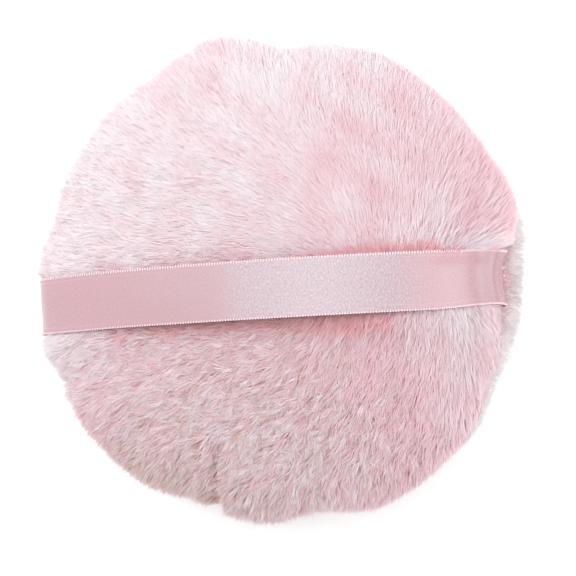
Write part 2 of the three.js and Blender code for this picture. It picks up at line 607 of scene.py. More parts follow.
@dataclass(frozen=True)
class PuffSizes:
    """Sizes that the pieces share, read from the frame where it holds them."""

    rim_radius: float
    crown_height: float
    foot_height: float
    seam_height: float
    ribbon_middle: float
    ribbon_width: float
    ribbon_top: float
    roll_radius: float = 5.5 * MM
    roll_turn: float = math.radians(55)
    crease_depth: float = 3 * MM
    ribbon_lift_off: float = 0.6 * MM

    @classmethod
    def from_frame(cls) -> "PuffSizes":
        """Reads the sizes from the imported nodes.

        Returns:
            The sizes.
        """
        back_low, back_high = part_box("back_cover")
        front_low, front_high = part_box("front_cover")
        strap_low, strap_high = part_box("ribbon_strap")
        return cls(
            rim_radius=back_high.x,
            crown_height=back_high.z,
            foot_height=front_low.z,
            seam_height=(back_low.z + front_high.z) / 2,
            ribbon_middle=(strap_low.y + strap_high.y) / 2,
            ribbon_width=strap_high.y - strap_low.y,
            ribbon_top=strap_high.z,
        )

    @property
    def roll_x(self) -> float:
        """Radius of the middle of each rim's roll."""
        return self.rim_radius - self.roll_radius

    @property
    def roll_z(self) -> float:
        """Height of the middle of each rim's roll, from the seam."""
        return math.sqrt(self.roll_radius**2 - (self.roll_radius - self.crease_depth) ** 2)


@dataclass
class RibbonRoute:
    """Middle line of the ribbon in the XZ plane, from one sewn end to the other."""

    sizes: PuffSizes
    tail_radius: float = 38.5 * MM
    exit_turn: float = math.radians(9)
    thickness: float = 0.6 * MM
    sink: float = 0.6 * MM
    sink_width: float = 4 * MM
    sink_span: Span = (26 * MM, 40 * MM)
    sag: float = 1.4 * MM
    sag_span: LongSpan = (-8 * MM, 32 * MM, 34 * MM, 48 * MM)
    steps: int = 40

    def half(self) -> Array:
        """Draws the half on +X: the arch, the bend round the roll and the way into the seam.

        Returns:
            Rows of x and height over the seam, from the middle out.
        """
        s = self.sizes
        reach = s.roll_radius + s.ribbon_lift_off
        top = s.ribbon_top - self.thickness / 2 - s.seam_height
        leave = np.array(
            [s.roll_x + reach * math.cos(s.roll_turn), s.roll_z + reach * math.sin(s.roll_turn)]
        )
        bend = leave[0] - (top - leave[1]) * math.tan(s.roll_turn)
        t = np.linspace(0, 1, self.steps)[:, None]
        arch = 2 * t * (1 - t) * np.array([bend, top]) + t**2 * leave + (1 - t) ** 2 * [0, top]
        start = math.asin(-s.roll_z / reach) + self.exit_turn
        angle = np.linspace(s.roll_turn, start, self.steps)[1:]
        roll = np.column_stack((s.roll_x + reach * np.cos(angle), s.roll_z + reach * np.sin(angle)))
        ease = roll[-1, 1] / math.cos(start)
        corner = np.array([roll[-1, 0] + ease * math.sin(start), 0])
        inner = corner - [ease, 0]
        bow = (1 - t) ** 2 * roll[-1] + 2 * t * (1 - t) * corner + t**2 * inner
        return np.vstack((arch, roll, bow[1:], [[self.tail_radius, 0]]))

    def whole(self) -> Array:
        """Gives the whole line, from the left end to the right end."""
        half = self.half()
        return np.vstack((half[:0:-1] * [-1, 1], half))

    def even(self, count: int) -> Array:
        """Gives the whole line as evenly spaced points.

        Args:
            count: how many points.

        Returns:
            Rows of x and height over the seam.
        """
        line = self.whole()
        run = np.concatenate(([0], np.cumsum(np.linalg.norm(np.diff(line, axis=0), axis=1))))
        places = np.linspace(0, run[-1], count)
        return np.column_stack([np.interp(places, run, line[:, i]) for i in (0, 1)])

    def sunk(self, x: Array, y: Array) -> Array:
        """Gives how far the ribbon sags onto the pile on the right, its upper edge furthest.

        Args:
            x: places along X.
            y: places along Y.

        Returns:
            Depths under the route.
        """
        off = y - self.sizes.ribbon_middle - self.sizes.ribbon_width / 2
        edge = smooth_step(-self.sink_width, 0, off) * smooth_step(*self.sink_span, x)
        return self.sink * edge + self.sag * plateau(self.sag_span, x)

    def length(self) -> float:
        """Gives the ribbon's whole length."""
        return float(np.linalg.norm(np.diff(self.whole(), axis=0), axis=1).sum())


@dataclass(frozen=True)
class Swelling:
    """A cloth simulation that blows a fabric piece up from inside, with no weight."""

    most: float
    pressure: float = 4.0
    quality: int = 6
    frames: int = 20

    def apply(self, mesh: Mesh, held: Array) -> None:
        """Swells a mesh in place.

        Args:
            mesh: the fabric, whose points move.
            held: true for each point that is sewn down.
        """
        scene = bpy.context.scene
        fabric = bpy.data.objects.new("swelling", mesh)
        scene.collection.objects.link(fabric)
        start = points_of(mesh)
        sewn = fabric.vertex_groups.new(name="sewn")
        sewn.add(np.flatnonzero(held).tolist(), 1.0, "REPLACE")
        cloth = fabric.modifiers.new("swell", "CLOTH")
        cloth.settings.quality = self.quality
        cloth.settings.use_pressure = True
        cloth.settings.uniform_pressure_force = self.pressure
        cloth.settings.effector_weights.gravity = 0
        cloth.settings.vertex_group_mass = sewn.name
        cloth.point_cache.frame_start = 1
        cloth.point_cache.frame_end = self.frames
        for number in range(1, self.frames + 1):
            scene.frame_set(number)
        shown = fabric.evaluated_get(bpy.context.evaluated_depsgraph_get())
        move = points_of(shown.data) - start
        scene.frame_set(1)
        far = np.linalg.norm(move, axis=1, keepdims=True)
        move *= np.minimum(1, self.most / np.maximum(far, TINY))
        bpy.data.objects.remove(fabric)
        move_points(mesh, start + move)


@dataclass(frozen=True)
class RibbonPull:
    """The way the ribbon draws the rim up at its two sewn ends.

    The back cover's roll is drawn in and up, and the seam and the front cover's roll
    follow it, so that a little of the powder side shows from above past each end. The
    moves are given at heights over the seam, in millimetres.
    """

    sizes: PuffSizes
    heights: tuple[float, ...] = (-12, -5, 0, 5, 10, 14)
    outwards: tuple[float, ...] = (0.4, 0.4, -1.4, -4.2, -4.2, -2.0)
    upwards: tuple[float, ...] = (1.5, 3.6, 4.2, 2.4, 1.2, 0.4)
    still: float = 34 * MM
    full: float = 46 * MM
    spread_up: float = 8.0
    spread_down: float = 11.0
    left_share: float = 0.08
    probe: float = 0.1 * MM

    def apply(self, points: Array) -> Array:
        """Draws points in and up.

        Args:
            points: any array whose last axis is x, y and z.

        Returns:
            The moved points.
        """
        s = self.sizes
        x, y, z = points[..., 0], points[..., 1], points[..., 2]
        radius = np.hypot(x, y)
        end = math.degrees(math.asin(s.ribbon_middle / s.rim_radius))
        bearing = np.degrees(np.arctan2(y, np.abs(x))) - end
        spread = np.where(bearing > 0, self.spread_up, self.spread_down)
        share = np.exp(-0.5 * (bearing / spread) ** 2) * smooth_step(self.still, self.full, radius)
        share = share * np.where(x > 0, 1, self.left_share)
        height = (z - s.seam_height) / MM
        out = np.interp(height, self.heights, self.outwards) * MM * share
        rise = np.interp(height, self.heights, self.upwards) * MM * share
        grow = 1 + out / np.maximum(radius, MM)
        return np.stack((x * grow, y * grow, z + rise), -1)

    def turned(self, points: Array, ways: Array) -> Array:
        """Turns directions along with the points that they stand on."""
        return unit(self.apply(points + ways * self.probe) - self.apply(points))


@dataclass(frozen=True)
class RimLumps:
    """Soft lumps that push the rim in and out, as stuffing and sewing leave them.

    Each lump has its bearing in degrees, its push in millimetres and its width in degrees.
    None rises under the ribbon's right end, which holds the rim down.
    """

    sizes: PuffSizes
    table: tuple[tuple[float, float, float], ...] = (
        (11, 2.2, 8),
        (34, 0.6, 8),
        (50, 0.9, 10),
        (60, 1.1, 7),
        (83, -1.8, 5),
        (102, 2.7, 8),
        (128, 0.8, 5),
        (161, -1.2, 5),
        (180, 1.1, 7),
        (196, 1.4, 4),
        (201, -1.6, 3.5),
        (210, 0.5, 12),
        (240, 0.4, 5),
        (248, -2.2, 7),
        (280, -1.9, 6),
        (291, 0.6, 5),
        (302, 1.2, 9),
        (320, 1.2, 6),
        (331, -0.6, 5),
    )
    held_reach: float = 8 * MM
    radius_shares: Span = (0.6, 0.95)

    def push(self, points: Array) -> Array:
        """Gives how far points move away from the axis.

        Args:
            points: any array whose last axis is x, y and z.

        Returns:
            The push at each point.
        """
        bearing = np.degrees(np.arctan2(points[..., 1], points[..., 0]))
        radius = np.hypot(points[..., 0], points[..., 1])
        total = np.zeros(radius.shape)
        for middle, height, width in self.table:
            off = (bearing - middle + 180) % 360 - 180
            total += height * MM * np.exp(-0.5 * (off / width) ** 2)
        off_ribbon = (points[..., 1] - self.sizes.ribbon_middle) / self.held_reach
        held = np.exp(-(off_ribbon**4)) * (points[..., 0] > 0)
        outside = smooth_step(*self.radius_shares, radius / self.sizes.rim_radius)
        return total * (1 - held) * outside

    def apply(self, points: Array) -> Array:
        """Moves points by their push.

        Args:
            points: any array whose last axis is x, y and z.

        Returns:
            The moved points.
        """
        radius = np.hypot(points[..., 0], points[..., 1])
        moved = points.copy()
        moved[..., :2] *= (1 + self.push(points) / np.maximum(radius, MM))[..., None]
        return moved


@dataclass
class Skin:
    """Outer face of a cover's backing: its points before and after swelling, and triangles.

    Strands are shared out over the face before swelling, so every run grows them alike.
    """

    rest: Array
    points: Array
    triangles: Array

    def normals(self) -> Array:
        """Works out a smooth normal at each point.

        Returns:
            Rows of length one.
        """
        a, b, c = (self.points[self.triangles[:, i]] for i in range(3))
        face = np.cross(b - a, c - a)
        total = np.zeros_like(self.points)
        for i in range(3):
            np.add.at(total, self.triangles[:, i], face)
        return unit(total)

    def middles(self) -> Array:
        """Gives the middle of each triangle."""
        return self.rest[self.triangles].mean(1)

    def scatter(self, count: int, rng: Chance, crowding: Union[float, Array]) -> tuple[Array, Array]:
        """Picks places over the face.

        Args:
            count: how many places.
            rng: the seeded source of chance.
            crowding: how much closer than usual they lie, in all or in each triangle.

        Returns:
            Places and their normals.
        """
        a, b, c = (self.rest[self.triangles[:, i]] for i in range(3))
        area = np.linalg.norm(np.cross(b - a, c - a), axis=1) * crowding
        pick = rng.choice(len(area), count, p=area / area.sum())
        u, v = rng.random(count), rng.random(count)
        fold = u + v > 1
        u[fold], v[fold] = 1 - u[fold], 1 - v[fold]
        share = np.column_stack((1 - u - v, u, v))[:, :, None]
        corners = self.triangles[pick]
        places = (self.points[corners] * share).sum(1)
        return places, unit((self.normals()[corners] * share).sum(1))


@dataclass
class Cover:
    """One plush cover's knitted backing, swelled over the wadding and drawn in at the seam."""

    sizes: PuffSizes
    side: Side
    pull: RibbonPull
    lumps: RimLumps
    pile_depth: float = 0.6 * MM
    thickness: float = 1.6 * MM
    lip_inset: float = 1.0 * MM
    lip_height: float = 0.6 * MM
    sewn_height: float = 1.0 * MM
    merge: float = 0.01 * MM
    roll_degrees: tuple[float, ...] = (-75, -50, -25, 0, 20, 40)
    swelling: Swelling = Swelling(most=1.0 * MM)
    around: int = 96
    crown_steps: int = 8

    def outline(self) -> list[Span]:
        """Draws the backing's section: the lip at the seam, the rim's roll and the crown.

        Returns:
            Radii and heights over the seam, from the seam to the axis.
        """
        s = self.sizes
        roll = s.roll_radius - self.pile_depth
        face = s.crown_height if self.side is Side.BACK else s.foot_height
        rise = abs(face - s.seam_height) - self.pile_depth
        points = [(s.roll_x - self.lip_inset, self.lip_height)]
        for degrees in (*self.roll_degrees, math.degrees(s.roll_turn)):
            angle = math.radians(degrees)
            points.append((s.roll_x + roll * math.cos(angle), s.roll_z + roll * math.sin(angle)))
        end_r, end_z = points[-1]
        bend = end_r - (rise - end_z) * math.tan(s.roll_turn)
        for i in range(1, self.crown_steps + 1):
            t = i / self.crown_steps
            r = (1 - t) ** 2 * end_r + 2 * t * (1 - t) * bend
            z = (1 - t) ** 2 * end_z + (1 - (1 - t) ** 2) * rise
            points.append((r, z))
        return points

    def dish(self) -> Shape:
        """Turns the section about Z into an open dish.

        Returns:
            The dish, facing out.
        """
        shape = bmesh.new()
        way = self.side.value
        verts = [
            shape.verts.new((r, 0, self.sizes.seam_height + way * z)) for r, z in self.outline()
        ]
        edges = [shape.edges.new(pair) for pair in zip(verts, verts[1:])]
        bmesh.ops.spin(
            shape,
            geom=verts + edges,
            cent=(0, 0, 0),
            axis=(0, 0, 1),
            angle=math.tau,
            steps=self.around,
            use_merge=True,
        )
        bmesh.ops.remove_doubles(shape, verts=shape.verts[:], dist=self.merge)
        bmesh.ops.recalc_face_normals(shape, faces=shape.faces[:])
        if sum(f.normal.z * f.calc_area() for f in shape.faces) * way < 0:
            bmesh.ops.reverse_faces(shape, faces=shape.faces[:])
        return shape

    def build(self, material: Material, slot: Slot) -> Skin:
        """Makes the backing, swelled and given its thickness.

        Args:
            material: the backing's finish.
            slot: the record's slot; not used.

        Returns:
            The face that the pile grows from.
        """
        label = self.side.name.lower()
        mesh = in_order(mesh_from(self.dish(), f"{label}_cover_dish"))
        mesh.calc_loop_triangles()
        corners = np.empty(len(mesh.loop_triangles) * 3, np.int32)
        mesh.loop_triangles.foreach_get("vertices", corners)
        rest = points_of(mesh)
        level = np.abs(rest[:, 2] - self.sizes.seam_height)
        self.swelling.apply(mesh, held=level < self.sewn_height)
        skin = Skin(rest, self.lumps.apply(points_of(mesh)), corners.reshape(-1, 3))
        move_points(mesh, self.pull.apply(skin.points))
        shell = bmesh.new()
        shell.from_mesh(mesh)
        bpy.data.meshes.remove(mesh)
        bmesh.ops.solidify(shell, geom=shell.faces[:], thickness=self.thickness)
        bmesh.ops.recalc_face_normals(shell, faces=shell.faces[:])
        piece = finish_piece(
            mesh_from(shell, f"{label}_cover_backing"), f"{label}_cover_backing", material
        )
        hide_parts(f"{label}_cover")
        return skin


def copies(template: Shape, places: Array) -> tuple[Array, Array, Array]:
    """Lists the triangles of a small shape that is repeated many times.

    Args:
        template: the small shape, triangulated.
        places: the vertices of every copy, as copy, vertex and coordinate.

    Returns:
        All points, all triangles, and each triangle corner's vertex in the template.
    """
    template.verts.index_update()
    faces = np.array([[v.index for v in f.verts] for f in template.faces])
    number, each = places.shape[:2]
    triangles = (faces[None] + (np.arange(number) * each)[:, None, None]).reshape(-1, 3)
    return places.reshape(-1, 3), triangles, np.tile(faces.ravel(), number)


def raw_mesh(name: str, points: Array, triangles: Array) -> Mesh:
    """Makes a mesh of triangles.

    Args:
        name: the mesh's name.
        points: its vertices.
        triangles: its faces.

    Returns:
        The mesh.
    """
    mesh = bpy.data.meshes.new(name)
    mesh.vertices.add(len(points))
    mesh.vertices.foreach_set("co", points.astype(np.float32).ravel())
    mesh.loops.add(triangles.size)
    mesh.loops.foreach_set("vertex_index", triangles.astype(np.int32).ravel())
    mesh.polygons.add(len(triangles))
    mesh.polygons.foreach_set("loop_start", np.arange(0, triangles.size, 3, dtype=np.int32))
    mesh.update(calc_edges=True)
    return mesh


@dataclass(frozen=True)
class Stroke:
    """One stroke of the hand over the pile, as the photograph shows it.

    The place is in millimetres from the puff's middle, and the heading is in degrees from
    +X. Lean runs from 0, upright, to 1, laid flat, and is below 0 where the pile stands
    against the stroke. Pale runs from -0.5, rosy, through 0, grey, and 0.5, pink, to 1,
    near white; its low values on the lower half and the bottom rim are partly painted
    shade. Ruffle runs from 0, smooth, to 1, tousled.
    """

    x: float
    y: float
    heading: float
    lean: float
    pale: float
    ruffle: float = 0.5


# Low paleness over the lower half and the bottom rim is partly painted shade, where less light falls.
BACK_STROKES = (
    Stroke(-38, 28, 150, 0.55, 1.0, 0.35),
    Stroke(-42, 12, 165, 0.5, 0.92, 0.5),
    Stroke(-28, 18, 158, 0.55, 0.9, 0.45),
    Stroke(-22, 37, 142, 0.55, 1.0, 0.35),
    Stroke(-17, 42, 115, 0.85, 0.68, 0.2),
    Stroke(-15, 12, 170, 0.6, 0.86, 0.4),
    Stroke(-5, 26, 150, 0.6, 0.88, 0.4),
    Stroke(3, 44, 100, 0.65, 1.0, 0.3),
    Stroke(18, 47, 90, 0.6, 1.0, 0.25),
    Stroke(6, 14, 160, 0.8, 0.82, 0.3),
    Stroke(16, 34, 95, 0.75, 0.76, 0.1),
    Stroke(20, 20, 110, 0.95, 0.58, 0.06),
    Stroke(28, 12, 88, 0.8, 0.74, 0.08),
    Stroke(30, 38, 82, 0.75, 0.76, 0.1),
    Stroke(40, 22, 68, 0.65, 0.72, 0.2),
    Stroke(43, 9, 55, 0.5, 0.85, 0.25),
    Stroke(51, 15, 40, 0.5, 0.0, 0.35),
    Stroke(43, 32, 60, 0.6, 0.6, 0.25),
    Stroke(-46, -14, 195, 0.4, 1.0, 0.8),
    Stroke(-38, -19, 200, 0.25, 0.7, 1.0),
    Stroke(-38, -32, 220, 0.5, 0.22, 0.45),
    Stroke(-22, -16, 195, 0.25, 0.24, 1.0),
    Stroke(-18, -10.5, 190, 0.6, 0.46, 0.4),
    Stroke(0, -10.5, 200, 0.6, 0.44, 0.4),
    Stroke(-20, -30, 210, 0.2, 0.34, 1.0),
    Stroke(-26, -43, 235, 0.2, -0.15, 0.35),
    Stroke(-16, -50, 240, 0.15, -0.4, 0.35),
    Stroke(-6, -20, 200, 0.22, 0.25, 1.0),
    Stroke(-8, -38, 215, 0.2, 0.36, 1.0),
    Stroke(2, -46, 245, 0.25, 0.25, 1.0),
    Stroke(10, -30, 215, 0.22, 0.18, 1.0),
    Stroke(16, -17, 255, 0.9, 0.42, 0.2),
    Stroke(22, -36, 235, 0.35, 0.4, 0.75),
    Stroke(28, -20, 235, 0.5, 0.36, 0.3),
    Stroke(39, -11.5, 262, 0.6, 1.0, 0.1),
    Stroke(36, -26, 265, 0.6, 0.74, 0.08),
    Stroke(45, -17, 285, 0.7, 0.6, 0.06),
    Stroke(16, -46, 265, 0.4, 0.36, 0.8),
)

FRONT_STROKES = (
    Stroke(-30, 0, 200, 0.6, 0.9),
    Stroke(30, 0, 330, 0.5, 0.95),
    Stroke(48, -3, 340, -0.2, 1.0, 0.6),
    Stroke(0, 30, 60, 0.6, 0.9),
    Stroke(0, -30, 280, 0.6, 0.85),
    Stroke(0, 0, 300, 0.7, 0.9),
)


@dataclass(frozen=True)
class Layer:
    """One kind of strand in the pile. Real strands are too many, so these are coarser than life.

    A strand has a length on the cover's face, a length round the rim, its radius at the
    root and the shares of its length where it bends. Strands stand in tufts of a few, whose
    tips are drawn together by a least to a most share. Unrest is how freely strands stray
    from the strokes, and white the share of tufts painted near white where the pile is
    tousled, as painted glints.
    """

    name: str
    length: float
    rim_length: float
    width: float
    cuts: tuple[float, ...]
    tuft: int
    draw: Span
    unrest: float
    white: float


UNDERCOAT = Layer("undercoat", 3.8 * MM, 3.0 * MM, 0.10 * MM, (), 4, (0.0, 0.25), 1.3, 0.15)
TOPCOAT = Layer("topcoat", 4.0 * MM, 3.4 * MM, 0.08 * MM, (0.5,), 3, (0.1, 0.6), 1.8, 0.7)


@dataclass(frozen=True)
class Plush:
    """One side of the puff: its cloth, its pile, and how the pile is combed and grown.

    Strands are counted for the undercoat and the topcoat. Own shade is how much of its own
    roundness a strand shows beside the cover's.
    """

    side: Side
    slot: Slot
    cloth: KnitBacking
    fur: PlushPile
    strokes: tuple[Stroke, ...]
    strands: tuple[int, int]
    sectors: int
    seed: int
    own_shade: float


BACK_PLUSH = Plush(
    side=Side.BACK,
    slot=Slot.PLUSH_BACK,
    cloth=KnitBacking("pink_knitted_backing", "#fbdbe2", "#f3c2cd"),
    fur=PlushPile(
        "pink_acrylic_pile",
        rosy=("#e4909a", "#e9a6ae", "#f0c4ca"),
        # The grey row is partly greyer pink and partly painted shade for the lower half.
        grey_and_painted_shade=("#bf8b8a", "#cfada9", "#e9dcd8"),
        pink=("#e099a5", "#e9bbc5", "#efd6dc"),
        pale=("#e6cfd6", "#ede4e8", "#f3f0f2"),
    ),
    strokes=BACK_STROKES,
    strands=(190000, 80000),
    sectors=4,
    seed=7,
    own_shade=2.4,
)
FRONT_PLUSH = Plush(
    side=Side.FRONT,
    slot=Slot.PLUSH_FRONT,
    cloth=KnitBacking("cream_knitted_backing", "#fde8e9", "#f6d4d7"),
    fur=PlushPile(
        "cream_acrylic_pile",
        rosy=("#fbd3db", "#fcdfe4", "#fdeef1"),
        grey_and_painted_shade=("#f5d9dc", "#f9e8ea", "#fdf4f6"),
        pink=("#f9e3e6", "#fceff1", "#fef7f8"),
        pale=("#fbecee", "#fdf5f6", "#fffafb"),
    ),
    strokes=FRONT_STROKES,
    strands=(60000, 24000),
    sectors=2,
    seed=9,
    own_shade=3.0,
)


@dataclass(frozen=True)
class RibbonMarks:
    """What the ribbon does to the pile beside it.

    A crest stands up at its upper right corner and an edge along its lower side. The pile
    swells up near both its ends, is painted rosy in its shade as painted pink shade, and
    bunches up on the powder side at its right end, where it is painted rosy too as painted
    pink shade. Offs are measured from the ribbon's middle line, the shade's in half widths
    of the ribbon, and the bunch's width is a share of its width.
    """

    sizes: PuffSizes
    crest_x: Span = (33 * MM, 37 * MM)
    crest_off: tuple[float, float, float] = (5.5 * MM, 7 * MM, 10 * MM)
    crest_lean: float = -0.4
    crest_pale: float = 0.9
    edge_x: Span = (-38 * MM, 30 * MM)
    edge_off: float = -6 * MM
    edge_width: float = 2.2 * MM
    edge_lift: float = 0.4
    swell_right: LongSpan = (6 * MM, 18 * MM, 44 * MM, 48 * MM)
    swell_left: LongSpan = (24 * MM, 32 * MM, 44 * MM, 48 * MM)
    swell_off: float = -7 * MM
    swell_width: float = 2.4 * MM
    shade_off: LongSpan = (-1.45, -1.1, 0.9, 1.0)
    shade_start: Span = (-38 * MM, -20 * MM)
    shade_low_end: Span = (22 * MM, 30 * MM)
    shade_high_end: Span = (39 * MM, 43 * MM)
    bunch_x: Span = (40 * MM, 44 * MM)
    bunch_depth: Span = (5 * MM, 9 * MM)
    bunch_width: float = 0.9
    # Share of the bunch painted rosy as painted pink shade, and the depths where it fades.
    bunch_painted_shade: float = 0.8
    bunch_painted_shade_depth: Span = (1.5 * MM, 4.0 * MM)

    def off(self, places: Array) -> Array:
        """Gives how far places lie from the ribbon's middle line."""
        return places[:, 1] - self.sizes.ribbon_middle

    def stand(self, roots: Array, lean: Array, pale: Array) -> tuple[Array, Array]:
        """Stands up the crest and the edge.

        Args:
            roots: where the strands grow.
            lean: their leans.
            pale: their paleness.

        Returns:
            The changed leans and paleness.
        """
        x, off = roots[:, 0], self.off(roots)
        start, full, end = self.crest_off
        crest = smooth_step(*self.crest_x, x) * (1 - smooth_step(full, end, off)) * (off > start)
        lean = lean + (self.crest_lean - lean) * crest
        pale = pale + (self.crest_pale - pale) * crest
        left, right = self.edge_x
        edge = np.exp(-(((off - self.edge_off) / self.edge_width) ** 2))
        return lean - self.edge_lift * edge * (x > left) * (x < right), pale

    def swelled(self, roots: Array) -> Array:
        """Gives how far the back's pile swells up beside the ribbon's lower edge.

        Args:
            roots: where the strands grow.

        Returns:
            Shares from 0 to 1.
        """
        x, off = roots[:, 0], self.off(roots) - self.swell_off
        ends = plateau(self.swell_right, x) + plateau(self.swell_left, -x)
        return ends * np.exp(-((off / self.swell_width) ** 2))

    def bunched(self, places: Array) -> Array:
        """Gives how far the ribbon's right end bunches up the front's pile at the seam.

        Args:
            places: places on the front cover.

        Returns:
            Shares from 0 to 1.
        """
        off = self.off(places) / self.sizes.ribbon_width
        depth = self.sizes.seam_height - places[:, 2]
        near = 1 - smooth_step(*self.bunch_depth, depth)
        near *= smooth_step(*self.bunch_x, places[:, 0])
        return near * np.exp(-((off / self.bunch_width) ** 4))

    def shaded(self, roots: Array, side: Side) -> Array:
        """Gives how far each root lies in the ribbon's painted pink shade.

        Args:
            roots: where the strands grow.
            side: the cover.

        Returns:
            Shares from 0 to 1.
        """
        if side is Side.FRONT:
            depth = self.sizes.seam_height - roots[:, 2]
            fade = 1 - smooth_step(*self.bunch_painted_shade_depth, depth)
            return self.bunch_painted_shade * self.bunched(roots) * fade
        x, off = roots[:, 0], self.off(roots) / self.sizes.ribbon_width * 2
        ends = zip(self.shade_low_end, self.shade_high_end)
        start, end = (np.where(off < 0, low, high) for low, high in ends)
        along = smooth_step(*self.shade_start, x) * (1 - smooth_step(start, end, x))
        return plateau(self.shade_off, off) * along


@dataclass(frozen=True)
class Habit:
    """How the strands of a pile grow and stray from the strokes.

    Spreads of two numbers are what a tuft shares and what each strand adds. Bends hold the
    degrees off the normal of an upright strand and what a full lean adds. Waves hold their
    strength and their length. Looseness and draw hold the share in smooth pile and what full
    ruffling adds. The rest are shares, or spans where something sets in.
    """

    calm: float = 0.5
    calm_radius: Span = (45 * MM, 50 * MM)
    looseness: Span = (0.3, 0.9)
    swing: Span = (0.18, 0.1)
    swing_waves: tuple[Span, ...] = ((0.25, 9 * MM), (0.4, 4 * MM), (0.4, 2 * MM))
    face: Span = (0.3, 0.9)
    length: Span = (0.1, 0.1)
    length_range: Span = (0.6, 1.4)
    rim_length: float = 0.3
    parted_cut: float = 0.7
    swell: float = 0.2
    lift: float = 0.07
    lift_wave: Span = (0.28, 5 * MM)
    lean: float = 0.3
    lean_range: Span = (-0.6, 1.05)
    root_bend: Span = (8, 42)
    tip_bend: Span = (48, 38)
    draw: Span = (0.1, 0.9)
    draw_power: float = 1.4
    tint: Span = (0.1, 0.08)
    smooth_tint: float = 0.08
    tint_wave: Span = (0.08, 10 * MM)
    ruffle_wave: Span = (0.16, 3 * MM)
    groove_painted_shade: float = -0.15
    glint_pale: float = 0.95
    pale_range: Span = (-0.5, 1)


